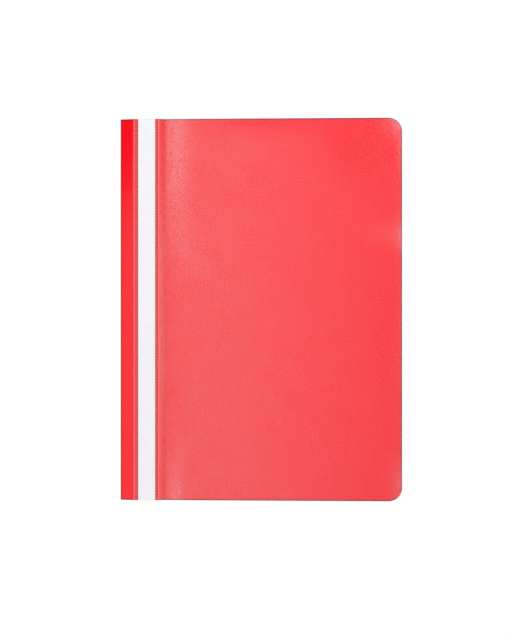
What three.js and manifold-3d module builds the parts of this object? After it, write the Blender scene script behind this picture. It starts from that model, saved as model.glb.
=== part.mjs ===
// Report folder with a two-prong fastener. One coloured sheet is the back cover, the spine and a narrow front
// flap. A clear front cover is welded along that flap by two ribbed seams, which leave a full-length label
// pocket between them. Inside, a steel prong fastener and its compressor bar hold the punched sheets.
// Millimetres, +Z up. The folder lies closed on its back. X runs from the spine to the free edge, Y along the
// spine, and the origin is under the middle of the folder.
import * as THREE from "three";
import { mergeVertices } from "three/addons/utils/BufferGeometryUtils.js";
import Module from "manifold-3d";

const wasm = await Module();
wasm.setup();

// Sheets
const folder_width = 229;
const folder_length = 310;
const corner_radius = 11;
const coloured_film = 0.18;
const clear_film = 0.15;
const sheet_gap = 0.02;
const arc_steps = 12;

// Spine fold and front flap, measured across from the spine
const fold_radius = 0.6;
const bare_strip = 10.8;
const ramp_run = 9.4;
const flap_width = 36.5;
const flap_corner_radius = 2;

// Prong fastener
const fastener_across = 26;
const prong_spacing = 80;
const steel = 0.3;
const prong_width = 6;
const bend_radius = 0.3;
const hinge_room = 0.55;
const tip_gap = 4;
const prong_clearance = 0.14;

// Film strip over the fastener's base
const strip_length = 124;
const strip_width = 18;
const strip_slope = 0.8;
const base_side_play = 0.4;
const slot_play = 0.6;

// Compressor bar
const bar_length = 112;
const bar_width = 11;
const bar_height = 2;
const bar_floor = 0.9;
const bar_wall = 1.3;
const bar_edge = 0.3;
const bar_slot_length = 3;
const bar_slot_play = 0.75;
const bar_slot_corner = 0.8;
const bar_play = 0.9;
const flap_clearance = 0.18;

// Label and its pocket
const label_width = 13.5;
const label_paper = 0.14;
const label_side_play = 0.2;
const label_top_play = 0.06;
const wall_slope = 0.2;

// Ribbed weld seams
const seam_lip = 1.2;
const lip_height = 0.2;
const edge_round = 0.2;
const rib_span = 2.25;
const rib_pitch = 2.07;
const rib_foot = 0.95;
const rib_crown = 0.5;
const rib_height = 0.17;
const rib_root = 0.03;
const pad_height = 0.07;
const bead_width = 1.6;
const bead_height = 0.24;

// Clear front cover
const crease_gap = 0.35;
const cover_inset = 0.3;
const cover_rest = 1;
const trough_across = 62;
const trough_height = 1.2;
const free_edge_height = 3.4;
const cover_steps = 14;

// Heights that the stack of pieces gives
const base_under = coloured_film + sheet_gap;
const strip_roof = base_under + steel + sheet_gap;
const bar_under = strip_roof + coloured_film + sheet_gap;
const channel_floor = bar_under + bar_floor;
const prong_under = channel_floor + bar_play + prong_clearance;
const flap_under = bar_under + bar_height + bar_play + flap_clearance;
const clear_under = flap_under + coloured_film + sheet_gap;
const pocket_roof = clear_under + label_paper + label_top_play;

// Places across the label pocket, from the spine
const pocket_left = bare_strip + seam_lip + rib_span;
const pocket_right = pocket_left + label_width + 2 * label_side_play;
const bead_left = pocket_right + rib_span;
const pocket_film_end = bead_left + bead_width;

// Turns a closed geometry into a solid that can be cut and joined.
function solidOf(geometry) {
  const bare = geometry.clone();
  bare.deleteAttribute("normal");
  bare.deleteAttribute("uv");
  const merged = mergeVertices(bare, 1e-4);
  return new wasm.Manifold(
    new wasm.Mesh({
      numProp: 3,
      vertProperties: new Float32Array(merged.attributes.position.array),
      triVerts: new Uint32Array(merged.index.array),
    }),
  );
}

// Turns a cut or joined solid back into a geometry with flat faces.
function geometryOf(solid) {
  const mesh = solid.getMesh();
  const geometry = new THREE.BufferGeometry();
  geometry.setAttribute("position", new THREE.BufferAttribute(mesh.vertProperties, mesh.numProp));
  geometry.setIndex(new THREE.BufferAttribute(mesh.triVerts, 1));
  const flat = geometry.toNonIndexed();
  flat.computeVertexNormals();
  return flat;
}

function extruded(shape, depth) {
  return new THREE.ExtrudeGeometry(shape, { depth, bevelEnabled: false, curveSegments: arc_steps });
}

// A section drawn in X and Z, run along Y and centred.
function runAlong(section, length) {
  return extruded(section, length)
    .rotateX(Math.PI / 2)
    .translate(0, length / 2, 0);
}

// A profile drawn in Y and Z, run across X between two places.
function runAcross(profile, from, to) {
  const turn = new THREE.Matrix4().makeBasis(
    new THREE.Vector3(0, 1, 0),
    new THREE.Vector3(0, 0, 1),
    new THREE.Vector3(1, 0, 0),
  );
  return extruded(profile, to - from)
    .applyMatrix4(turn)
    .translate(from, 0, 0);
}

// An outline drawn in X and Y, standing on a height.
function plate(outline, under, thickness) {
  return extruded(outline, thickness).translate(0, 0, under);
}

// The section of a sheet: one side follows the line, and the other lies a thickness to its left.
function sheetSection(line, thickness) {
  const other = line.map((point, i) => {
    const before = line[Math.max(i - 1, 0)];
    const after = line[Math.min(i + 1, line.length - 1)];
    const run = after.clone().sub(before).normalize();
    return new THREE.Vector2(point.x - run.y * thickness, point.y + run.x * thickness);
  });
  return new THREE.Shape([...line, ...other.reverse()]);
}

// A sheet's outline from one edge across to another, with its two far corners rounded.
function sheetOutline(from, to, length, radius) {
  const half = length / 2;
  const outline = new THREE.Shape();
  outline.moveTo(from, half);
  outline.lineTo(from, -half);
  outline.absarc(to - radius, radius - half, radius, -Math.PI / 2, 0, false);
  outline.absarc(to - radius, half - radius, radius, 0, Math.PI / 2, false);
  return outline;
}

function rectangle(width, length) {
  const outline = new THREE.Shape();
  outline.moveTo(-width / 2, -length / 2);
  outline.lineTo(width / 2, -length / 2);
  outline.lineTo(width / 2, length / 2);
  outline.lineTo(-width / 2, length / 2);
  return outline;
}

// A long outline along Y with fully round ends.
function roundEnded(width, length) {
  const radius = width / 2;
  const straight = length / 2 - radius;
  const outline = new THREE.Shape();
  outline.absarc(0, straight, radius, 0, Math.PI, false);
  outline.absarc(0, -straight, radius, Math.PI, 2 * Math.PI, false);
  return outline;
}

function roundedRectangle(width, length, radius) {
  const x = width / 2 - radius;
  const y = length / 2 - radius;
  const outline = new THREE.Shape();
  outline.absarc(x, y, radius, 0, Math.PI / 2, false);
  outline.absarc(-x, y, radius, Math.PI / 2, Math.PI, false);
  outline.absarc(-x, -y, radius, Math.PI, 1.5 * Math.PI, false);
  outline.absarc(x, -y, radius, 1.5 * Math.PI, 2 * Math.PI, false);
  return outline;
}

// Back cover: a flat sheet from the fold to the free edge.
function backCover() {
  return plate(
    sheetOutline(fold_radius + sheet_gap, folder_width, folder_length, corner_radius),
    0,
    coloured_film,
  );
}

// Spine fold: half a tube of film, the living hinge between the back cover and the flap.
function spineFold() {
  const section = new THREE.Shape();
  const down = 1.5 * Math.PI;
  const up = 0.5 * Math.PI;
  section.absarc(fold_radius, fold_radius, fold_radius, up, down, false);
  section.absarc(fold_radius, fold_radius, fold_radius - coloured_film, down, up, true);
  return runAlong(section, folder_length);
}

// Spine panel: the bare strip beside the fold, where the film climbs over the fastener.
function spinePanel() {
  const start = fold_radius + sheet_gap;
  const low = 2 * fold_radius - coloured_film;
  const middle = start + ramp_run / 2;
  const line = new THREE.Path();
  line.moveTo(start, low);
  line.bezierCurveTo(middle, low, middle, flap_under, start + ramp_run, flap_under);
  return runAlong(sheetSection(line.getPoints(arc_steps), coloured_film), folder_length);
}

// Front flap: past the panel's crease the same film runs level under the weld seams, to a hidden edge.
function frontFlap() {
  const start = fold_radius + ramp_run + 2 * sheet_gap;
  return plate(
    sheetOutline(start, flap_width, folder_length, flap_corner_radius),
    flap_under,
    coloured_film,
  );
}

// The pocket's clear film without its ribs: lip, pressed seam, raised roof over the label, seam and bead.
function pocketSection() {
  const seam = clear_under + pad_height;
  const lip = clear_under + lip_height;
  const bead = clear_under + bead_height;
  const roof = pocket_roof + clear_film;
  const section = new THREE.Shape();
  section.moveTo(bare_strip, clear_under);
  section.lineTo(pocket_left, clear_under);
  section.lineTo(pocket_left + wall_slope, pocket_roof);
  section.lineTo(pocket_right - wall_slope, pocket_roof);
  section.lineTo(pocket_right, clear_under);
  section.lineTo(pocket_film_end, clear_under);
  section.lineTo(pocket_film_end, bead - edge_round / 2);
  section.lineTo(pocket_film_end - edge_round, bead);
  section.lineTo(bead_left + edge_round, bead);
  section.lineTo(bead_left, bead - edge_round / 2);
  section.lineTo(bead_left, seam);
  section.lineTo(pocket_right + clear_film, seam);
  section.lineTo(pocket_right - wall_slope + clear_film / 2, roof);
  section.lineTo(pocket_left + wall_slope - clear_film / 2, roof);
  section.lineTo(pocket_left - clear_film, seam);
  section.lineTo(bare_strip + seam_lip, seam);
  section.lineTo(bare_strip + seam_lip, lip);
  section.lineTo(bare_strip + edge_round, lip);
  section.lineTo(bare_strip, lip - edge_round / 2);
  return section;
}

// One seam's ribs in a row along Y, standing on a thin root that lies inside the pressed film.
function ribRow(from, to) {
  const count = Math.floor((folder_length - rib_foot) / rib_pitch);
  const first = -((count - 1) * rib_pitch) / 2;
  const end = folder_length / 2 - sheet_gap;
  const root = clear_under + pad_height - rib_root / 2;
  const crown = clear_under + rib_height;
  const row = new THREE.Shape();
  row.moveTo(end, root);
  row.lineTo(end, root - rib_root);
  row.lineTo(-end, root - rib_root);
  row.lineTo(-end, root);
  for (let i = 0; i < count; i += 1) {
    const middle = first + i * rib_pitch;
    row.lineTo(middle - rib_foot / 2, root);
    row.lineTo(middle - rib_crown / 2, crown);
    row.lineTo(middle + rib_crown / 2, crown);
    row.lineTo(middle + rib_foot / 2, root);
  }
  return runAcross(row, from, to);
}

// Label pocket: the film welded to the flap on both sides of the label, with the ribs of both seams.
function labelPocket() {
  const film = solidOf(runAlong(pocketSection(), folder_length));
  const left = solidOf(ribRow(bare_strip + seam_lip - rib_root, pocket_left + sheet_gap));
  const right = solidOf(ribRow(pocket_right - sheet_gap, bead_left + rib_root));
  return geometryOf(film.add(left).add(right));
}

// Label: a paper strip as long as the folder, loose in the pocket.
function labelStrip() {
  const middle = (pocket_left + pocket_right) / 2;
  return plate(rectangle(label_width, folder_length), clear_under, label_paper).translate(middle, 0, 0);
}

// Front cover: clear film that turns at the crease beside the seam. It lies on the flap, falls to the back
// cover past the flap's hidden edge, and lifts a little towards its free edge.
function frontCover() {
  const crease = pocket_film_end + crease_gap;
  const fall_start = flap_width + cover_rest;
  const fall_middle = (fall_start + trough_across) / 2;
  const edge = folder_width - cover_inset;
  const sag = (trough_across + edge) / 2;
  const line = new THREE.Path();
  line.moveTo(crease, clear_under);
  line.lineTo(fall_start, clear_under);
  line.bezierCurveTo(fall_middle, clear_under, fall_middle, trough_height, trough_across, trough_height);
  line.quadraticCurveTo(sag, trough_height, edge, free_edge_height);
  const sheet = runAlong(sheetSection(line.getPoints(cover_steps), clear_film), folder_length);
  const outline = sheetOutline(crease - 1, edge, folder_length - 2 * cover_inset, corner_radius);
  const cutter = plate(outline, 0, clear_under + folder_width);
  return geometryOf(solidOf(sheet).intersect(solidOf(cutter)));
}

// Fastener strip: film welded inside the back cover, raised in a channel over the steel base, with a slot for
// each prong.
function fastenerStrip() {
  const flange = strip_width / 2;
  const channel = prong_width / 2 + base_side_play;
  const line = new THREE.Path();
  line.moveTo(-flange, base_under);
  line.lineTo(-channel - strip_slope, base_under);
  line.lineTo(-channel, strip_roof);
  line.lineTo(channel, strip_roof);
  line.lineTo(channel + strip_slope, base_under);
  line.lineTo(flange, base_under);
  const sheet = solidOf(runAlong(sheetSection(line.getPoints(), coloured_film), strip_length));
  const slot = rectangle(prong_width + 2 * base_side_play, steel + 2 * slot_play);
  const cutter = plate(slot, strip_roof - coloured_film, 3 * coloured_film);
  const riser = (prong_spacing - steel) / 2 + steel / 2;
  const upper = solidOf(cutter.clone().translate(0, riser, 0));
  const lower = solidOf(cutter.clone().translate(0, -riser, 0));
  return geometryOf(sheet.subtract(upper).subtract(lower));
}

// Prong base: flat steel under the strip, turned up at both ends, with the bends where the prongs fold in.
function prongBase() {
  const outer = bend_radius + steel;
  const bend = (prong_spacing + steel) / 2 - outer;
  const low = base_under + outer;
  const high = prong_under - bend_radius;
  const line = new THREE.Path();
  line.absarc(-bend, high, outer, Math.PI / 2, Math.PI, false);
  line.absarc(-bend, low, outer, Math.PI, 1.5 * Math.PI, false);
  line.absarc(bend, low, outer, -Math.PI / 2, 0, false);
  line.absarc(bend, high, outer, 0, Math.PI / 2, false);
  const profile = sheetSection(line.getPoints(arc_steps / 2), steel);
  return runAcross(profile, -prong_width / 2, prong_width / 2);
}

// Prong: the steel tongue above the bend, folded in towards the middle, with a round tip.
function prong() {
  const bend = (prong_spacing - steel) / 2 - bend_radius;
  const root = bend - hinge_room;
  const radius = prong_width / 2;
  const outline = new THREE.Shape();
  outline.moveTo(radius, root);
  outline.lineTo(-radius, root);
  outline.absarc(0, tip_gap / 2 + radius, radius, Math.PI, 2 * Math.PI, false);
  return plate(outline, prong_under, steel);
}

// Compressor bar: a moulded bar with round ends, a channel for the folded prongs and a slot for each prong.
function compressorBar() {
  const outline = roundEnded(bar_width, bar_length);
  const blank = new THREE.ExtrudeGeometry(outline, {
    depth: bar_height - 2 * bar_edge,
    curveSegments: arc_steps,
    bevelThickness: bar_edge,
    bevelSize: bar_edge,
    bevelOffset: -bar_edge,
    bevelSegments: 2,
  }).translate(0, 0, bar_under + bar_edge);
  const channel = roundEnded(bar_width - 2 * bar_wall, bar_length - 2 * bar_wall);
  const slot = roundedRectangle(prong_width + 2 * bar_slot_play, bar_slot_length, bar_slot_corner);
  const through = plate(slot, bar_under - bar_edge, bar_height + 2 * bar_edge);
  const upper = through.clone().translate(0, prong_spacing / 2, 0);
  const lower = through.clone().translate(0, -prong_spacing / 2, 0);
  return geometryOf(
    solidOf(blank)
      .subtract(solidOf(plate(channel, channel_floor, bar_height)))
      .subtract(solidOf(upper))
      .subtract(solidOf(lower)),
  );
}

// Materials
const coloured = new THREE.MeshStandardMaterial({ color: "#f93b3b", roughness: 0.3, metalness: 0 });
const clear = new THREE.MeshStandardMaterial({
  color: "#f6eef0",
  roughness: 0.4,
  metalness: 0,
  transparent: true,
  opacity: 0.3,
});
const paper = new THREE.MeshStandardMaterial({ color: "#f1f0f6", roughness: 0.85, metalness: 0 });
const tinned_steel = new THREE.MeshStandardMaterial({ color: "#c3c5c8", roughness: 0.3, metalness: 1 });
const moulded = new THREE.MeshStandardMaterial({ color: "#e9e8e4", roughness: 0.5, metalness: 0 });

function piece(name, geometry, material) {
  const mesh = new THREE.Mesh(geometry, material);
  mesh.name = name;
  return mesh;
}

// The fastener, drawn about its own middle
const fastener = new THREE.Group();
fastener.position.x = fastener_across;
const lower_prong = piece("prong_lower", prong(), tinned_steel);
lower_prong.rotation.z = Math.PI;
fastener.add(
  piece("fastener_strip", fastenerStrip(), coloured),
  piece("prong_base", prongBase(), tinned_steel),
  piece("prong_upper", prong(), tinned_steel),
  lower_prong,
  piece("compressor_bar", compressorBar(), moulded),
);

// The folder, drawn from its spine and then centred
const folder = new THREE.Group();
folder.position.x = -folder_width / 2;
folder.add(
  piece("back_cover", backCover(), coloured),
  piece("spine_fold", spineFold(), coloured),
  piece("spine_panel", spinePanel(), coloured),
  piece("front_flap", frontFlap(), coloured),
  piece("label_pocket", labelPocket(), clear),
  piece("label_strip", labelStrip(), paper),
  piece("front_cover", frontCover(), clear),
  fastener,
);

export default folder;
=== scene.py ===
# %% [markdown]
# # A fastener folder
# This scene dresses the CAD model of an A4 folder: one red sheet folded at the spine, a clear cover on a
# ribbed seam, a paper label in its pocket, and a steel prong fastener with its bar inside. Each cell makes
# one piece.

# %% Load the model
import math

import bmesh
import bpy
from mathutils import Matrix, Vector, noise


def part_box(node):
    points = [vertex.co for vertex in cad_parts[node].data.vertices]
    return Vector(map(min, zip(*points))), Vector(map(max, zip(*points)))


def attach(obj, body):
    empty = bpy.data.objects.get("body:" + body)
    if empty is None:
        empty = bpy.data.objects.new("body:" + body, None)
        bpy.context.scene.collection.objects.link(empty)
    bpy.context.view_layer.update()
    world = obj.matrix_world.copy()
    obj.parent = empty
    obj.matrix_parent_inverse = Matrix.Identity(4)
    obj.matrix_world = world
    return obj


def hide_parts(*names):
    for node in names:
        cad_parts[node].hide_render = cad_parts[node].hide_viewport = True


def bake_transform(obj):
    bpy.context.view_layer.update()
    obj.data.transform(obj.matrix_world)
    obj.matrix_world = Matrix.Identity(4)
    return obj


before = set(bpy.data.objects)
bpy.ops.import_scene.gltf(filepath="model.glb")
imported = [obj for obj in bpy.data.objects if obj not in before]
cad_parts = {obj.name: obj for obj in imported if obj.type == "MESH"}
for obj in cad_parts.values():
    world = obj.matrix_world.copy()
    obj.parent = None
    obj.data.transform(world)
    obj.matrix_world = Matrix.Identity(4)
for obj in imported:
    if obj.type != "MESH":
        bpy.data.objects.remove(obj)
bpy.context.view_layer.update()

# %% [markdown]
# The folder is drawn from its spine in millimetres, because that is how such a thing is measured with a
# ruler. One function turns those millimetres into the frame's metres, and every piece below goes through
# it.

# %% Millimetres from the spine
MM = 0.001
LENGTH = 310.0
WIDTH = 229.0
HALF = LENGTH / 2


def at(across, along, up):
    return Vector((across - WIDTH / 2, along, up)) * MM


print("spine at", at(0, 0, 0), "free edge at", at(WIDTH, 0, 0))

# %% [markdown]
# A sheet is a grid of points: a path runs across it and rows run along it. Every grid is stored as a plain
# mesh, so that it can bend at a joint, and it can carry layers, which are numbers at its points that a
# material reads.

# %% Helpers for sheets
def spread(first, last, steps):
    return [first + (last - first) * index / steps for index in range(steps + 1)]


def smooth(value, low, high):
    share = min(max((value - low) / (high - low), 0.0), 1.0)
    return share * share * (3 - 2 * share)


def grid_object(name, rows, layers=None):
    mesh = bpy.data.meshes.new(name)
    across = len(rows[0])
    points = [point for row in rows for point in row]
    faces = []
    for row in range(len(rows) - 1):
        for column in range(across - 1):
            first = row * across + column
            faces.append((first, first + 1, first + across + 1, first + across))
    mesh.from_pydata(points, [], faces)
    for layer, values in (layers or {}).items():
        attribute = mesh.attributes.new(layer, "FLOAT", "POINT")
        attribute.data.foreach_set("value", values)
    piece = bpy.data.objects.new(name, mesh)
    bpy.context.scene.collection.objects.link(piece)
    return piece


quarters = spread(0, 1, 4)
print("quarters", quarters, "smoothed", [round(smooth(part, 0, 1), 2) for part in quarters])

# %% [markdown]
# A sheet needs its thickness. The modifier Solidify adds it to both sides of the grid, closes the rim and
# can give the rim a material of its own. Edges sharper than 35 degrees stay crisp and everything else is
# shaded smooth.

# %% Helpers for thickness
SHARP_EDGE = math.radians(35)


def finished(piece):
    bpy.context.view_layer.update()
    evaluated = piece.evaluated_get(bpy.context.evaluated_depsgraph_get())
    mesh = bpy.data.meshes.new_from_object(evaluated)
    piece.modifiers.clear()
    piece.data = mesh
    mesh.shade_smooth()
    mesh.set_sharp_from_angle(angle=SHARP_EDGE)
    print(piece.name, len(mesh.polygons), "faces")
    return piece


def thickened(piece, thickness, materials):
    for material in materials:
        piece.data.materials.append(material)
    solid = piece.modifiers.new("thickness", "SOLIDIFY")
    solid.thickness = thickness * MM
    solid.offset = 0
    solid.use_even_offset = True
    solid.material_offset_rim = len(materials) - 1
    return finished(piece)


print("edges sharper than", round(math.degrees(SHARP_EDGE)), "degrees stay crisp")

# %% [markdown]
# Materials are node trees. One function adds a node and fills its sockets, and another turns the hex
# colours that a photo editor shows into the linear numbers that Blender works in.

# %% Helpers for materials
def colour(code):
    parts = [int(code[place:place + 2], 16) / 255 for place in (1, 3, 5)]
    linear = [part / 12.92 if part <= 0.04045 else ((part + 0.055) / 1.055) ** 2.4 for part in parts]
    return (*linear, 1.0)


def add(tree, kind, values=None, **settings):
    node = tree.nodes.new("ShaderNode" + kind)
    for key, setting in settings.items():
        setattr(node, key, setting)
    for socket, value in (values or {}).items():
        if isinstance(value, bpy.types.NodeSocket):
            tree.links.new(value, node.inputs[socket])
        else:
            node.inputs[socket].default_value = value
    return node


def new_material(name):
    material = bpy.data.materials.new(name)
    material.use_nodes = True
    tree = material.node_tree
    tree.nodes.clear()
    return material, tree, add(tree, "OutputMaterial")


# Every piece sits at the origin, so its object coordinates are the folder's own millimetres once scaled.
def millimetres(tree, stretch=(1, 1, 1)):
    place = add(tree, "TexCoord").outputs["Object"]
    scale = [1000 * share for share in stretch]
    return add(tree, "Mapping", {"Vector": place, "Scale": scale}).outputs["Vector"]


print("mid grey in linear numbers", [round(part, 3) for part in colour("#808080")])

# %% [markdown]
# Red film: polypropylene sheet, coloured right through and rolled between a polished cylinder and a sanded
# one. So its outside is smooth with a soft gloss, and its inside is matt with a fine grain. The mesh
# carries a "matt" value for the inside and a "cut" value, which is painted shade: a darker band along the
# edges and the round fold. The real sanded grain is about a tenth of a millimetre. It is drawn ten times as
# coarse, 1.2 mm, because a pixel of the picture is 0.8 mm and a finer one wouldn't show. The outside is
# uneven too, but only very slightly, every 0.6 mm.

# %% Red film
def red_film():
    material, tree, output = new_material("red_polypropylene")
    place = millimetres(tree)
    grain = add(tree, "TexNoise", {"Vector": place, "Scale": 1.6, "Detail": 3.0, "Roughness": 0.6})
    sand = add(tree, "TexNoise", {"Vector": place, "Scale": 0.85, "Detail": 1.0, "Roughness": 0.5})
    tone = add(tree, "MapRange", {"Value": sand.outputs["Fac"], "From Min": 0.34, "From Max": 0.66})
    outside = add(tree, "Mix", {"Factor": tone.outputs["Result"], "A": colour("#F20314"),
                                "B": colour("#F90A1D")}, data_type="RGBA")
    inside = add(tree, "Mix", {"Factor": tone.outputs["Result"], "A": colour("#F50319"),
                               "B": colour("#FC2C3A")}, data_type="RGBA")
    matt = add(tree, "Attribute", attribute_name="matt").outputs["Fac"]
    red = add(tree, "Mix", {"Factor": matt, "A": outside.outputs["Result"],
                            "B": inside.outputs["Result"]}, data_type="RGBA")
    # Painted shade: the "cut" layer darkens a band along the edges and the fold.
    cut = add(tree, "Attribute", attribute_name="cut").outputs["Fac"]
    edge_shaded = add(tree, "Mix", {"Factor": cut, "A": red.outputs["Result"],
                              "B": colour("#951921")}, data_type="RGBA")
    rough = add(tree, "MapRange", {"Value": grain.outputs["Fac"], "To Min": 0.1, "To Max": 0.16})
    waves = add(tree, "Bump", {"Height": grain.outputs["Fac"], "Strength": 0.06, "Distance": 0.00006})
    rise = add(tree, "Math", {0: sand.outputs["Fac"], 1: matt}, operation="MULTIPLY")
    bump = add(tree, "Bump", {"Height": rise.outputs["Value"], "Strength": 1.0, "Distance": 0.0002,
                              "Normal": waves.outputs["Normal"]})
    surface = add(tree, "BsdfPrincipled", {"Base Color": edge_shaded.outputs["Result"],
                                           "Roughness": rough.outputs["Result"], "IOR": 1.49,
                                           "Normal": bump.outputs["Normal"]})
    tree.links.new(surface.outputs["BSDF"], output.inputs["Surface"])
    return material


red = red_film()
print("made", red.name)

# %% [markdown]
# The red sheet is one piece on the real folder: back cover, round fold, the short ramp over the fastener
# and the narrow front flap. It is one grid too, run from the free edge of the back, through the fold and up
# to the end of the flap, so that nothing shows a joint. The corners away from the spine are cut round.

# %% Outline of the sheets
# The back is cut 0.3 mm longer at each end than the part beside the spine.
BACK_LONGER = 0.3


def half_length(across):
    return HALF + BACK_LONGER * smooth(across, 4, 60)


def reach(half, distance, radius):
    if distance >= radius:
        return half
    gap = radius - distance
    return half - radius + math.sqrt(max(radius * radius - gap * gap, 0.0))


print("half length at the spine", half_length(0), "and in the middle", half_length(WIDTH / 2))

# %% [markdown]
# The sheet seen from the folder's end is a path of points, each with its place across, its height and half
# the sheet's length there. It runs inwards along the back, round the fold, up a straight ramp over the
# fastener and along the flap. Past the crease nothing holds the flap up, and its free edge sinks towards
# the back. It stays above 0.78 mm.

# %% Path of the red sheet
RED = 0.18
BACK_CORNER = 11.0
FOLD = 0.6
RAMP_START = (0.62, 1.11)
RAMP_SLOPE = 2.78 / 9.4
FLAP_START = 10.3
FLAP_MIDDLE = 3.89
FLAP_CORNER = 2.0
FLAP_END = 36.5
FLAP_SINK = 3.2
SINK_START = 31.2


def flap_height(across):
    return FLAP_MIDDLE - FLAP_SINK * smooth(across, SINK_START, FLAP_END + 1)


def ramp_height(across):
    start, height = RAMP_START
    return height + (across - start) * RAMP_SLOPE


def sheet_path():
    path = []
    corner = [BACK_CORNER * (1 - math.cos(angle)) for angle in spread(0, math.pi / 2, 14)]
    path += [(WIDTH - distance, RED / 2, reach(half_length(WIDTH), distance, BACK_CORNER))
             for distance in corner]
    flat = spread(WIDTH - BACK_CORNER, 2.0, 60)
    path += [(across, RED / 2, half_length(across)) for across in flat[1:]]
    path += [(1.2, RED / 2, HALF)]
    bend = FOLD - RED / 2
    for angle in spread(-math.pi / 2, -math.pi, 8):
        path.append((FOLD + bend * math.cos(angle), FOLD + bend * math.sin(angle), HALF))
    path += [(0.12, 0.78, HALF), (0.28, 0.95, HALF), (0.45, 1.05, HALF), (*RAMP_START, HALF)]
    path += [(across, ramp_height(across), HALF) for across in [0.9, 1.2] + spread(1.6, 9.6, 7)]
    path += [(9.8, 3.83, HALF), (10.02, 3.87, HALF), (FLAP_START, FLAP_MIDDLE, HALF)]
    flat = spread(FLAP_START, 32, 10) + spread(32, FLAP_END - FLAP_CORNER, 4)[1:]
    path += [(across, flap_height(across), HALF) for across in flat[1:]]
    corner = [FLAP_CORNER * math.cos(angle) for angle in spread(0, math.pi / 2, 6)]
    path += [(FLAP_END - distance, flap_height(FLAP_END - distance), reach(HALF, distance, FLAP_CORNER))
             for distance in corner[1:]]
    return path


print("path of", len(sheet_path()), "points, flap's edge at", round(flap_height(FLAP_END), 2), "mm")

# %% [markdown]
# Rows of that path make the sheet. The "cut" value is painted shade: it is high in a band along the edges
# and along the fold, which are drawn darker. The rows lie closest near each end, where that band needs them.

# %% Red sheet
END_BAND = 1.5
END_ROWS = (1.1, 0.8, 0.5, 0.25, 0)


def red_sheet():
    path = sheet_path()
    inner = 1 - END_BAND / HALF
    edge = [1 - distance / HALF for distance in END_ROWS]
    shares = [-share for share in reversed(edge)] + spread(-inner, inner, 100) + edge
    rows, cut, matt = [], [], []
    for share in shares:
        rows.append([at(across, share * half, up) for across, up, half in path])
        for across, up, half in path:
            to_end = half * (1 - abs(share))
            to_side = WIDTH - across
            # Painted shade along the round fold, carried in the "cut" layer.
            fold_shade = 0.6 * (1 - smooth(across, 0.9, 1.9))
            cut.append(max(1 - smooth(min(to_end, to_side), 0.4, 1.4), fold_shade))
            matt.append(1.0 if up < 0.1 and across > 2 else 0.0)
    return thickened(grid_object("red_sheet", rows, {"cut": cut, "matt": matt}), RED, [red])


sheet = red_sheet()
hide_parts("back_cover", "spine_fold", "spine_panel", "front_flap")
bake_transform(sheet)
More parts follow.
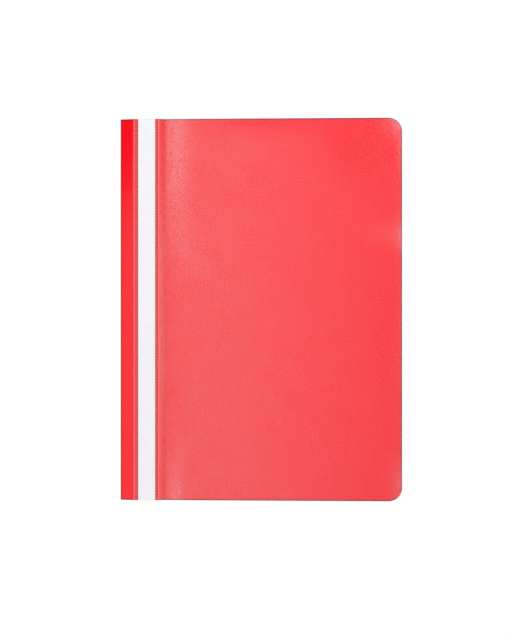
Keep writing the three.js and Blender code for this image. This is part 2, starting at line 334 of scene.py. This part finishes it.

# %% [markdown]
# Clear film: polypropylene without colour, rolled with a matt grain on one side. Seen from above it is
# mostly see-through, with a thin milky veil. The veil is stronger where the film stands off the sheet below
# and almost gone where the two touch, so each film mesh carries a "veil" value at its points. On the cover
# that value also holds painted highlights and painted shade. Where it is strong, the grain's speckle in the
# milky part is made stronger, which is a painted glitter. A "seam" value marks the strips beside the label,
# where the film lies on the red sheet, and a "weld" value the spots where the two were melted together,
# which show as deep red, and also a painted shadow line right beside the label.
# The real grain is about a tenth of a millimetre. It is drawn as 1.4 mm, because a finer one wouldn't show
# in the picture.

# %% Clear film
def clear_film():
    material, tree, output = new_material("clear_polypropylene")
    place = millimetres(tree)
    grain = add(tree, "TexNoise", {"Vector": place, "Scale": 0.7, "Detail": 4.0, "Roughness": 0.7})
    cloud = add(tree, "TexNoise", {"Vector": place, "Scale": 0.05, "Detail": 3.0, "Roughness": 0.55})
    bump = add(tree, "Bump", {"Height": grain.outputs["Fac"], "Strength": 0.5, "Distance": 0.00025})
    normal = bump.outputs["Normal"]
    veil = add(tree, "Attribute", attribute_name="veil").outputs["Fac"]
    weld = add(tree, "Attribute", attribute_name="weld").outputs["Fac"]
    speckle = add(tree, "MapRange", {"Value": grain.outputs["Fac"], "From Min": 0.42, "From Max": 0.62,
                                     "To Min": -0.15, "To Max": 0.25})
    # Painted glitter: where the veil is strong, the grain's speckle in the milky part is made stronger.
    painted_glitter = add(tree, "MapRange", {"Value": veil, "From Min": 0.03, "From Max": 0.1, "To Min": 0.8,
                                     "To Max": 2.9})
    speckled = add(tree, "Math", {0: speckle.outputs["Result"], 1: painted_glitter.outputs["Result"], 2: 1.0},
                   operation="MULTIPLY_ADD")
    patches = add(tree, "MapRange", {"Value": cloud.outputs["Fac"], "From Min": 0.3, "From Max": 0.7,
                                     "To Min": 0.85, "To Max": 1.15})
    mottle = add(tree, "Math", {0: speckled.outputs["Value"], 1: patches.outputs["Result"]},
                 operation="MULTIPLY")
    dense = add(tree, "Math", {0: veil, 1: mottle.outputs["Value"]}, operation="MULTIPLY")
    amount = add(tree, "Math", {0: dense.outputs["Value"], 1: 0.14}, operation="MINIMUM")
    milk = add(tree, "BsdfPrincipled", {"Base Color": colour("#F4ECEE"), "Roughness": 0.5, "IOR": 1.49,
                                        "Normal": normal})
    clear = add(tree, "BsdfTransparent", {"Color": colour("#FEFEFE")})
    body = add(tree, "MixShader", {0: amount.outputs["Value"], 1: clear.outputs["BSDF"],
                                   2: milk.outputs["BSDF"]})
    shine = add(tree, "BsdfGlossy", {"Color": colour("#FFFFFF"), "Roughness": 0.28, "Normal": normal})
    glance = add(tree, "LayerWeight", {"Blend": 0.12, "Normal": normal})
    gloss = add(tree, "MapRange", {"Value": glance.outputs["Fresnel"], "To Min": 0.003, "To Max": 0.5})
    glint = add(tree, "Math", {0: speckle.outputs["Result"], 1: 0.02, 2: gloss.outputs["Result"]},
                operation="MULTIPLY_ADD", use_clamp=True)
    coated = add(tree, "MixShader", {0: glint.outputs["Value"], 1: body.outputs["Shader"],
                                     2: shine.outputs["BSDF"]})
    # The "weld" layer draws the welds in deep red, and also the painted shadow line beside the label.
    melted = add(tree, "Mix", {"Factor": weld, "A": colour("#FE5F63"), "B": colour("#BC030D")},
                 data_type="RGBA")
    fused = add(tree, "BsdfPrincipled", {"Base Color": melted.outputs["Result"], "Roughness": 0.35,
                                         "IOR": 1.49, "Normal": normal})
    seam = add(tree, "Attribute", attribute_name="seam").outputs["Fac"]
    joined = add(tree, "MixShader", {0: seam, 1: coated.outputs["Shader"], 2: fused.outputs["BSDF"]})
    tree.links.new(joined.outputs["Shader"], output.inputs["Surface"])
    return material


film = clear_film()
print("made", film.name)

# %% [markdown]
# A cut edge of clear film gathers light and looks more solid than its face, and the blade leaves it
# slightly uneven, here about every 1.2 mm. The rim that Solidify makes gets this material of its own.

# %% Cut edge of clear film
def film_edge():
    material, tree, output = new_material("clear_film_cut_edge")
    place = millimetres(tree)
    nicks = add(tree, "TexNoise", {"Vector": place, "Scale": 0.8, "Detail": 3.0})
    amount = add(tree, "MapRange", {"Value": nicks.outputs["Fac"], "To Min": 0.5, "To Max": 0.8})
    clear = add(tree, "BsdfTransparent")
    milk = add(tree, "BsdfPrincipled", {"Base Color": colour("#A0969A"), "Roughness": 0.35, "IOR": 1.49})
    body = add(tree, "MixShader", {0: amount.outputs["Result"], 1: clear.outputs["BSDF"],
                                   2: milk.outputs["BSDF"]})
    tree.links.new(body.outputs["Shader"], output.inputs["Surface"])
    return material


rim = film_edge()
print("made", rim.name)

# %% [markdown]
# The label pocket is the strip of clear film over the label. A hot toothed bar pressed it to the flap along
# both sides of the label, leaving a row of small square welds with a raised rib between each two. The welds
# are 2.07 mm apart, measured in the photograph, and each is 1.1 mm long and 2 mm wide. All places across
# the folder are millimetres from the spine. A grid shows such small squares only if it has points at their
# edges, so its columns crowd at the seams, and each weld and its rib take six rows, placed where the height
# changes.

# %% Grid of the label pocket
PITCH = 2.07
LIP_START = 10.8
CREASE = 32.0
SEAMS = ((11.0, 14.7), (28.7, CREASE))
TEETH = ((11.95, 13.95), (29.1, 31.1))
TOOTH_EDGE = 0.08
OVER_LABEL = [14.73, 14.9, 16, 18, 20, 21.2, 23, 25, 27, 28.3, 28.67]
ROWS_IN_PITCH = (0.0, 0.17, 0.3, 0.5, 0.7, 0.83)


def pocket_columns():
    columns = [LIP_START, 10.95, CREASE] + OVER_LABEL
    for first, last in SEAMS:
        columns += spread(first + 0.02, last - 0.02, 12)
    for first, last in TEETH:
        columns += [first, first + TOOTH_EDGE, last - TOOTH_EDGE, last]
    return sorted(columns)


def pocket_stations():
    turns = range(-int(HALF / PITCH) - 1, int(HALF / PITCH) + 1)
    rows = [(turn + share) * PITCH for turn in turns for share in ROWS_IN_PITCH]
    return [-HALF] + [along for along in rows if abs(along) < HALF - 0.05] + [HALF]


print("pocket grid", len(pocket_columns()), "by", len(pocket_stations()))

# %% [markdown]
# Three small functions say at any place how fully the film is welded there, how dark the painted
# shadow line is right beside the label, and how far the film swells between two welds.

# %% Welds, painted shadow lines and ribs
WELD_LONG = 1.1
WELD_EDGE = 0.06
LABEL_SHADE_LINES = ((13.95, 14.7), (28.7, 29.15))


def weld_at(across, along):
    phase = (along / PITCH) % 1.0 - 0.5
    edge = WELD_LONG / 2 / PITCH
    strength = 1 - smooth(abs(phase), edge - WELD_EDGE, edge + WELD_EDGE)
    for first, last in TEETH:
        if first < across < last:
            inside = 1 - smooth(across, last - TOOTH_EDGE, last)
            return strength * smooth(across, first, first + TOOTH_EDGE) * inside
    return 0.0


# Painted shadow: a dark line along each long edge of the label.
def label_shade_at(across):
    for first, last in LABEL_SHADE_LINES:
        if first < across < last:
            return math.sqrt(math.sin(math.pi * (across - first) / (last - first)))
    return 0.0


def seam_bulge(across):
    for first, last in SEAMS:
        if first < across < last:
            return math.sin(math.pi * (across - first) / (last - first)) ** 0.6
    return 0.0


print("weld in a tooth's middle", weld_at(13, PITCH / 2), "rib between", round(seam_bulge(13), 2))

# %% [markdown]
# The film's height is the sum of what lifts it: the label below it, the ribs, and the rounded bead that
# runs along the crease where the cover turns. The welds press it down by 0.05 mm. On the left it ends in a
# flat lip 0.2 mm wide.

# %% Label pocket
FILM = 0.15
REST = 4.0 + FILM / 2
LABEL_LIFT = 0.19
RIB = 0.16
BEAD = 0.08
PRESSED = 0.05
LABEL_VEIL = 0.02


def pocket_height(across, along):
    over_label = smooth(across, 14.4, 14.65) * (1 - smooth(across, 28.75, 29.0))
    bead = BEAD * smooth(across, 30.9, 31.2) * (1 - smooth(across, 31.6, CREASE))
    rib = RIB * seam_bulge(across) * (1 - weld_at(across, along))
    pressed = PRESSED * weld_at(across, along)
    return REST + LABEL_LIFT * over_label + bead + rib - pressed


def in_seam(across):
    return 1.0 if any(first < across < last for first, last in SEAMS) else 0.0


def pocket_film():
    columns = pocket_columns()
    stations = pocket_stations()
    rows = [[at(across, along, pocket_height(across, along)) for across in columns]
            for along in stations]
    veil = [LABEL_VEIL] * (len(stations) * len(columns))
    # The "weld" layer holds the welds and the painted shadow line beside the label.
    weld = [max(weld_at(across, along), label_shade_at(across)) for along in stations for across in columns]
    seam = [in_seam(across) for along in stations for across in columns]
    layers = {"veil": veil, "weld": weld, "seam": seam}
    return thickened(grid_object("label_pocket_film", rows, layers), FILM, [film, rim])


pocket = pocket_film()
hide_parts("label_pocket")
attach(pocket, "flap")

# %% [markdown]
# The clear cover is thin film held along one side, so it never lies quite flat. It leaves the crease level
# with the flap, bows down to the sheet behind the flap's edge, steeply near both ends and slowly in the
# middle, and lifts again towards the free edge. Slow waves across it catch the light. Its height is one
# formula of the place on the sheet, read from how the light lies on the film.

# %% Bow of the clear cover
COVER_END = 228.7
LEAVES_FLAP = 37.0
FLAP_TOP = 4.0
LOW = 1.2
FREE_EDGE = 3.2
LONG_BOW = 54
SHORT_BOW = 25


def bow_width(along):
    near_end = max(smooth(along, 35, 80), smooth(-along, 95, 130))
    return LONG_BOW - (LONG_BOW - SHORT_BOW) * near_end


def cover_waves(across, along):
    slow = noise.noise(Vector((across / 70, along / 95, 0.4)))
    small = noise.noise(Vector((across / 26, along / 40, 3.7)))
    waves = 0.45 * slow + 0.1 * small
    return waves * smooth(across, 45, 80) * (1 - 0.6 * smooth(across, 200, COVER_END))


def cover_height(across, along):
    way_down = min(max((across - LEAVES_FLAP) / bow_width(along), 0.0), 1.0)
    fall = smooth(way_down ** 0.8, 0.0, 1.0)
    low = LOW + (FREE_EDGE - LOW) * smooth(across, 60, COVER_END)
    crease = -0.02 * (1 - smooth(abs(across - 32.15), 0.0, 0.25))
    return FILM / 2 + FLAP_TOP * (1 - fall) + low * fall + cover_waves(across, along) + crease


print("cover's height in its middle", round(cover_height(WIDTH / 2, 0), 2), "mm")

# %% [markdown]
# Where the film stands off the sheet below it looks milkier, and where it clings it is clear. The veil says
# so at each place. It is strongest over the flap's middle and falls slowly towards the free edge; that fall
# is painted shade. A short list of soft patches adds painted highlights, where the change is above nought,
# and painted shade, where it is below: middle, reach and change of each.

# %% Veil and painted light of the clear cover
# Painted highlights and painted shade on the clear cover, as soft patches in its veil.
PAINTED_LIGHT_PATCHES = (
    ((45, 150), (9, 60), 0.06),
    ((47, 85), (11, 38), 0.02),
    ((55, 48), (12, 18), 0.014),
    ((45, -145), (6, 15), 0.052),
    ((47, -118), (8, 22), 0.01),
    ((115, 154), (50, 11), -0.024),
    ((190, 142), (22, 26), -0.022),
    ((52, 138), (8, 24), 0.01),
    ((222, -138), (10, 16), 0.008),
    ((229, 154), (7, 9), 0.12),
    ((219, 150), (12, 12), 0.025),
    ((229, 128), (4, 14), 0.03),
    ((229, 60), (6, 11), 0.055),
    ((216, 62), (14, 10), 0.016),
    ((228, -141), (7, 15), 0.03),
    ((230, 0), (5, 400), 0.016),
)


def cover_veil_and_painted_light(across, along):
    on_flap = 0.076 - 0.046 * smooth(along, 30, 140) - 0.026 * smooth(-along, 40, 140)
    on_flap *= 1 - 0.4 * smooth(across, CREASE, FLAP_END)
    on_flap *= 0.65 + 0.35 * smooth(across, CREASE, CREASE + 1.2)
    off_flap = smooth(across, FLAP_END - 1, FLAP_END + 2)
    rise = 0.01 * smooth(across, FLAP_END, 55)
    # Painted shade: the veil falls towards the free edge.
    fall = 0.043 * min(max((across - 90) / 140, 0), 1)
    veil = on_flap + (0.03 - on_flap) * off_flap + rise - fall
    for middle, size, change in PAINTED_LIGHT_PATCHES:
        away = ((across - middle[0]) / size[0]) ** 2 + ((along - middle[1]) / size[1]) ** 2
        veil += change * math.exp(-away) * smooth(across, FLAP_END - 1, FLAP_END + 2)
    return max(veil, 0.0)


print("veil beside the crease", round(cover_veil_and_painted_light(34, 0), 3), "in the middle", round(cover_veil_and_painted_light(115, 0), 3))

# %% [markdown]
# The cover's edge stays 0.3 mm inside the back's. Its grid has its columns closest at the cut corners and at
# the crease, where four of them lie between 32 and 32.4 mm.

# %% Clear cover
COVER_INSET = 0.3
COVER_CORNER = 11.0


def cover_reach(across):
    half = half_length(across) - COVER_INSET * smooth(across, CREASE, 60)
    return reach(half, COVER_END - across, COVER_CORNER)


def clear_cover():
    columns = [CREASE, 32.1, 32.2, 32.35, 33, 34, 35, 36]
    columns += spread(LEAVES_FLAP, 70, 44) + spread(71, 217, 90)
    corner = [COVER_CORNER * math.cos(angle) for angle in spread(0, math.pi / 2, 12)]
    columns += [COVER_END - distance for distance in corner[1:]]
    rows, veil = [], []
    for share in spread(-1, 1, 220):
        places = [(across, share * cover_reach(across)) for across in columns]
        rows.append([at(across, along, cover_height(across, along)) for across, along in places])
        veil += [cover_veil_and_painted_light(across, along) for across, along in places]
    return thickened(grid_object("clear_cover", rows, {"veil": veil}), FILM, [film, rim])


cover = clear_cover()
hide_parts("front_cover")
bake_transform(cover)

# %% [markdown]
# The label is a strip of plain uncoated paper slipped into the pocket: off-white with a slight blue tint
# from brightener. Paper is a felt of fibres about 0.4 mm apart and 1.1 mm long here, which lie mostly along
# the strip, and it is a little cloudy over 8 mm. Uncoated paper scatters light in all directions, so it has
# almost no shine.

# %% Label paper
def uncoated_paper():
    material, tree, output = new_material("label_paper")
    fibre = add(tree, "TexNoise", {"Vector": millimetres(tree, (1, 0.35, 1)), "Scale": 2.5, "Detail": 5.0,
                                   "Roughness": 0.7})
    cloud = add(tree, "TexNoise", {"Vector": millimetres(tree), "Scale": 0.12, "Detail": 2.0})
    shade = add(tree, "Math", {0: fibre.outputs["Fac"], 1: cloud.outputs["Fac"]}, operation="MULTIPLY")
    tone = add(tree, "MapRange", {"Value": shade.outputs["Value"], "From Min": 0.1, "From Max": 0.4})
    white = add(tree, "Mix", {"Factor": tone.outputs["Result"], "A": colour("#F1F1F6"),
                              "B": colour("#F4F4F9")}, data_type="RGBA")
    bump = add(tree, "Bump", {"Height": fibre.outputs["Fac"], "Strength": 0.3, "Distance": 0.00005})
    surface = add(tree, "BsdfPrincipled", {"Base Color": white.outputs["Result"], "Roughness": 0.9,
                                           "IOR": 1.45, "Specular IOR Level": 0.2,
                                           "Normal": bump.outputs["Normal"]})
    tree.links.new(surface.outputs["BSDF"], output.inputs["Surface"])
    return material


paper = uncoated_paper()
print("made", paper.name)

# %% [markdown]
# The label's height and thickness come from its CAD solid, and its two long edges from the photograph.

# %% Label
LABEL = (14.74, 28.68)


def label_piece():
    low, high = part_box("label_strip")
    up = (low[2] + high[2]) / 2 / MM
    columns = spread(*LABEL, 8)
    rows = [[at(across, along, up) for across in columns] for along in spread(-HALF, HALF, 60)]
    return thickened(grid_object("label_paper_strip", rows), (high[2] - low[2]) / MM, [paper])


label = label_piece()
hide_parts("label_strip")
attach(label, "label")

# %% [markdown]
# The fastener sits inside the back cover, and shows when the folder is open. A strip of the same red sheet
# holds the steel down. It lies flat along both sides, rises over the steel in a shallow channel, and has a
# slot for each prong. A row of round spot welds, 6 mm apart, fixes each side.

# %% Slots and spot welds
FASTENER = 26.0
PRONGS = 80.0
SLOT_WIDE = 6.8
SLOT_LONG = 1.5
SPOT_ROW = 6.6
SPOT_PITCH = 6.0


def spot_weld(from_middle, along):
    to_row = abs(from_middle) - SPOT_ROW
    to_spot = ((along / SPOT_PITCH) % 1.0 - 0.5) * SPOT_PITCH
    return 1 - smooth(math.hypot(to_row, to_spot), 0.7, 1.1)


def in_slot(centre):
    across = centre.x / MM + WIDTH / 2 - FASTENER
    along = abs(centre.y / MM) - PRONGS / 2
    return abs(across) < SLOT_WIDE / 2 and abs(along) < SLOT_LONG / 2


def cut_slots(piece):
    work = bmesh.new()
    work.from_mesh(piece.data)
    inside = [face for face in work.faces if in_slot(face.calc_center_median())]
    bmesh.ops.delete(work, geom=inside, context="FACES")
    work.to_mesh(piece.data)
    work.free()


print("prongs", PRONGS, "mm apart, slots", SLOT_WIDE, "by", SLOT_LONG, "mm")

# %% [markdown]
# The strip's grid has a row at each end of both slots and a column at each side of them, so that deleting
# the faces between leaves clean openings. Its columns crowd at the channel's sides and at the rows of
# welds.

# %% Fastener strip
STRIP_LONG = 124.0
STRIP_WIDE = 18.0
STRIP_MIDDLE = 0.29
CHANNEL_LIFT = 0.32
CHANNEL = [0, 1.5, 3.0, SLOT_WIDE / 2, 3.6, 3.8, 4.0, 4.2, 4.6, 5.0]
SIDE = [5.4, 5.75, 6.1, 6.35, SPOT_ROW, 6.85, 7.1, 7.45, 7.8, 8.5, 8.8, STRIP_WIDE / 2]


def strip_stations():
    ends = [sign * (PRONGS + end * SLOT_LONG) / 2 for sign in (-1, 1) for end in (-1, 1)]
    return sorted(set(spread(-STRIP_LONG / 2, STRIP_LONG / 2, 310) + ends))


def strip_height(column, weld):
    return STRIP_MIDDLE + CHANNEL_LIFT * (1 - smooth(abs(column), 3.4, 4.2)) - 0.01 * weld


def fastener_strip():
    half = CHANNEL + SIDE
    columns = [-distance for distance in reversed(half[1:])] + half
    stations = strip_stations()
    rows, cut = [], []
    for along in stations:
        row = []
        for column in columns:
            weld = spot_weld(column, along)
            row.append(at(FASTENER + column, along, strip_height(column, weld)))
            # The "cut" layer is painted shade along the strip's edges, plus the darker mark of each spot
            # weld.
            to_edge = min(STRIP_LONG / 2 - abs(along), STRIP_WIDE / 2 - abs(column))
            cut.append(max(1 - smooth(to_edge, 0.05, 0.4), 0.6 * weld))
        rows.append(row)
    piece = grid_object("fastener_strip_film", rows, {"cut": cut})
    cut_slots(piece)
    return thickened(piece, RED, [red])


strip = fastener_strip()
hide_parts("fastener_strip")
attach(strip, "back")

# %% [markdown]
# Tinned steel: thin steel sheet with a bright coat of tin. It is a plain grey mirror with fine lines from
# the rolls along it, a tenth of a millimetre apart, and the tin is a little duller in patches 2.5 mm
# across.

# %% Tinned steel
def tinned_steel():
    material, tree, output = new_material("tinned_steel")
    lines = add(tree, "TexNoise", {"Vector": millimetres(tree, (1, 0.04, 1)), "Scale": 9.0, "Detail": 4.0})
    stains = add(tree, "TexNoise", {"Vector": millimetres(tree), "Scale": 0.4, "Detail": 3.0})
    rough = add(tree, "MapRange", {"Value": stains.outputs["Fac"], "To Min": 0.22, "To Max": 0.42})
    bump = add(tree, "Bump", {"Height": lines.outputs["Fac"], "Strength": 0.15, "Distance": 0.00003})
    surface = add(tree, "BsdfPrincipled", {"Base Color": colour("#CED0D3"), "Metallic": 1.0,
                                           "Roughness": rough.outputs["Result"],
                                           "Normal": bump.outputs["Normal"]})
    tree.links.new(surface.outputs["BSDF"], output.inputs["Surface"])
    return material


steel = tinned_steel()
print("made", steel.name)

# %% [markdown]
# The fastener's steel is one flat strip on the real thing: the base under the film, turned up at both ends,
# and two tongues folded in over the paper. It is sheared from sheet 0.3 mm thick, so its long edges are
# very slightly rounded. Every steel piece is a path seen from the side, with half the strip's width at each
# of its points.

# %% Sheared steel strip
STEEL = 0.3
SHEARED_EDGE = 0.05
SHARES = (-1, -0.96, -0.8, -0.4, 0, 0.4, 0.8, 0.96, 1)


def steel_piece(name, path):
    rows = [[at(FASTENER + share * half, along, up) for share in SHARES] for along, up, half in path]
    piece = grid_object(name, rows)
    piece.data.materials.append(steel)
    solid = piece.modifiers.new("thickness", "SOLIDIFY")
    solid.thickness = STEEL * MM
    solid.offset = 0
    sheared = piece.modifiers.new("sheared edge", "BEVEL")
    sheared.width = SHEARED_EDGE * MM
    sheared.segments = 2
    sheared.limit_method = "ANGLE"
    sheared.angle_limit = math.radians(60)
    return finished(piece)


print("steel", STEEL, "mm thick")

# %% [markdown]
# The paths follow the middle of the sheet, and its bends have a 0.45 mm radius there. Each tongue bends at
# its fold when it is raised, so it is a piece of its own, and it meets the base inside the slot, 1.3 mm up,
# where nothing shows the joint.

# %% Base and prongs
BEND = 0.45
BEND_PLACE = PRONGS / 2 - BEND
LOW_BEND = 0.8
HIGH_BEND = 2.36
MEET = 1.3
PRONG_HALF = 3.0
TIP = 2.0


def arc(centre, first, last, steps):
    along, up = centre
    angles = spread(first, last, steps)
    return [(along + BEND * math.cos(angle), up + BEND * math.sin(angle)) for angle in angles]


def base_path():
    quarter = math.pi / 2
    path = [(-PRONGS / 2, MEET)] + arc((-BEND_PLACE, LOW_BEND), -2 * quarter, -quarter, 8)
    path += [(along, LOW_BEND - BEND) for along in spread(-BEND_PLACE, BEND_PLACE, 16)[1:-1]]
    path += arc((BEND_PLACE, LOW_BEND), -quarter, 0, 8) + [(PRONGS / 2, MEET)]
    return [(along, up, PRONG_HALF) for along, up in path]


def prong_path(side):
    path = [(PRONGS / 2, up) for up in spread(MEET, HIGH_BEND, 4)[:-1]]
    path += arc((BEND_PLACE, HIGH_BEND), 0, math.pi / 2, 10)
    path += [(along, HIGH_BEND + BEND) for along in spread(BEND_PLACE, TIP + PRONG_HALF, 24)[1:]]
    round_end = [PRONG_HALF * math.cos(angle) for angle in spread(0, math.pi / 2, 12)]
    path += [(TIP + max(distance, 0.01), HIGH_BEND + BEND) for distance in round_end[1:]]
    return [(side * along, up, reach(PRONG_HALF, along - TIP, PRONG_HALF)) for along, up in path]


base = steel_piece("prong_base_steel", base_path())
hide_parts("prong_base")
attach(base, "back")
for side, body, node in ((1, "upper_prong", "prong_upper"), (-1, "lower_prong", "prong_lower")):
    prong = steel_piece(node + "_tongue", prong_path(side))
    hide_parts(node)
    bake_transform(prong)

# %% [markdown]
# The compressor bar is injection-moulded polypropylene, satin, with a faint orange peel of 0.8 mm and slow
# flow marks 4 mm apart along it. Its CAD solid has its channel, slots and rounded edges already, so it only
# gets its plastic.

# %% Compressor bar
def moulded_plastic():
    material, tree, output = new_material("moulded_polypropylene")
    peel = add(tree, "TexNoise", {"Vector": millimetres(tree), "Scale": 1.3, "Detail": 2.0})
    flow = add(tree, "TexNoise", {"Vector": millimetres(tree, (1, 0.2, 1)), "Scale": 0.25, "Detail": 3.0})
    tone = add(tree, "Mix", {"Factor": flow.outputs["Fac"], "A": colour("#E4E2DA"),
                             "B": colour("#ECEAE4")}, data_type="RGBA")
    bump = add(tree, "Bump", {"Height": peel.outputs["Fac"], "Strength": 0.2, "Distance": 0.00008})
    surface = add(tree, "BsdfPrincipled", {"Base Color": tone.outputs["Result"], "Roughness": 0.42,
                                           "IOR": 1.49, "Normal": bump.outputs["Normal"]})
    tree.links.new(surface.outputs["BSDF"], output.inputs["Surface"])
    return material


def dress(node, material):
    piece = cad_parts[node]
    for slot in piece.material_slots:
        slot.material = material
    print(node, "wears", material.name)


dress("compressor_bar", moulded_plastic())

# %% [markdown]
# A photographer lights a white table until it reads as paper white. This floor glows to the camera instead,
# and adds only a little of the light that falls on it, which keeps the folder's soft shadow. To everything
# else it is plain white.

# %% Floor
def white_floor():
    material, tree, output = new_material("white_floor")
    plain = add(tree, "BsdfDiffuse", {"Color": colour("#E7E7E7")})
    thin = add(tree, "BsdfDiffuse", {"Color": colour("#6C6C6C")})
    glow = add(tree, "Emission", {"Color": colour("#FFFFFF"), "Strength": 0.87})
    both = add(tree, "AddShader", {0: thin.outputs["BSDF"], 1: glow.outputs["Emission"]})
    seen = add(tree, "LightPath").outputs["Is Camera Ray"]
    final = add(tree, "MixShader", {0: seen, 1: plain.outputs["BSDF"], 2: both.outputs["Shader"]})
    tree.links.new(final.outputs["Shader"], output.inputs["Surface"])
    return material


FLOOR_REACH = 3.0
FLOOR_UNDER = 0.0001


def floor_object():
    sides = (-FLOOR_REACH, FLOOR_REACH)
    rows = [[Vector((across, along, -FLOOR_UNDER)) for across in sides] for along in sides]
    return grid_object("floor", rows)


floor = floor_object()
floor.data.materials.append(white_floor())
print("floor", 2 * FLOOR_REACH, "m wide")

# %% [markdown]
# The room is even and white. It lights things a little less than it shows in their shine, so that the lamps
# have some work to do.

# %% Room
def room():
    world = bpy.data.worlds.new("room")
    bpy.context.scene.world = world
    world.use_nodes = True
    tree = world.node_tree
    tree.nodes.clear()
    path = add(tree, "LightPath")
    seen = add(tree, "Math", {0: path.outputs["Is Camera Ray"], 1: path.outputs["Is Glossy Ray"]},
               operation="MAXIMUM")
    seen = add(tree, "Math", {0: seen.outputs["Value"], 1: path.outputs["Is Transmission Ray"]},
               operation="MAXIMUM")
    strength = add(tree, "MapRange", {"Value": seen.outputs["Value"], "To Min": 0.8, "To Max": 1.0})
    light = add(tree, "Background", {"Color": colour("#FFFFFF"), "Strength": strength.outputs["Result"]})
    add(tree, "OutputWorld", {"Surface": light.outputs["Background"]})
    return world


print("lit by", room().name)

# %% [markdown]
# Photographers hang black cards around a glossy thing to shape its light. Here there are two, out of the
# picture. One hangs to the left beyond the folder's top, and only the shine of the bare red strip mirrors
# it. The other stands past the lower right corner and takes a little of the room's light from it.

# %% Black cards
def black_card(name, corners):
    material, tree, output = new_material(name)
    black = add(tree, "BsdfDiffuse", {"Color": colour("#000000")})
    tree.links.new(black.outputs["BSDF"], output.inputs["Surface"])
    first, second, third, fourth = [Vector(corner) for corner in corners]
    card = grid_object(name, [[first, second], [third, fourth]])
    card.data.materials.append(material)
    card.visible_camera = False
    card.visible_transmission = False
    card.visible_shadow = False
    return card


mirrored = black_card("mirrored_card", ((-2.0, 0.185, 1.85), (-0.2, 0.185, 0.59),
                                        (-2.0, 1.385, 1.85), (-0.2, 1.385, 0.59)))
mirrored.visible_diffuse = False
flag = black_card("corner_flag", ((0.17, -0.57, 0), (0.59, -0.15, 0),
                                  (0.17, -0.57, 0.38), (0.59, -0.15, 0.38)))
flag.visible_glossy = False
print("cards", mirrored.name, flag.name)

# %% [markdown]
# Two soft lamps light the folder: a long one to the right of the camera and a square one from beyond the
# folder's top. The bowed film behind the crease is tilted just enough to mirror the long lamp, which draws
# part of the pale streak along it. Painted highlights in the cover's veil draw the rest of it.

# %% Lamps
def lamp(name, place, size, watts):
    data = bpy.data.lights.new(name, "AREA")
    data.shape = "RECTANGLE"
    data.size, data.size_y = size
    data.energy = watts
    piece = bpy.data.objects.new(name, data)
    bpy.context.scene.collection.objects.link(piece)
    piece.location = place
    piece.rotation_euler = (-Vector(place)).to_track_quat("-Z", "Y").to_euler()
    print(name, "gives", watts, "watts")


lamp("long_lamp", (0.62, 0.1, 1.4), (1.8, 0.36), 5.4)
lamp("fill_lamp", (-0.3, 1.35, 1.2), (0.8, 0.8), 6.0)

# %% [markdown]
# The camera looks down from 1.73 m with a telephoto lens of 120 mm, which gives 0.813 mm for a pixel of the
# photograph. A longer lens has to stand further off for the same picture, so the distance is worked out
# from it. The camera leans by 3.5 degrees, because the folder's right side is slightly larger in the
# picture.

# %% Camera
LENS = 120
METRES_PER_LENS = 0.7209 / 50
LEAN = math.radians(3.5)
LOOKS_AT = Vector((-0.0037, -0.0085, 0.004))


def photo_camera():
    data = bpy.data.cameras.new("photo_camera")
    data.lens = LENS
    data.sensor_width = 36
    data.clip_start = 0.05
    piece = bpy.data.objects.new("photo_camera", data)
    bpy.context.scene.collection.objects.link(piece)
    piece.rotation_euler = (0, LEAN, 0)
    back = Vector((math.sin(LEAN), 0, math.cos(LEAN)))
    piece.location = LOOKS_AT + back * METRES_PER_LENS * LENS
    bpy.context.scene.camera = piece
    return piece


camera = photo_camera()
bpy.context.scene.view_settings.view_transform = "Standard"
print("camera at", camera.location)
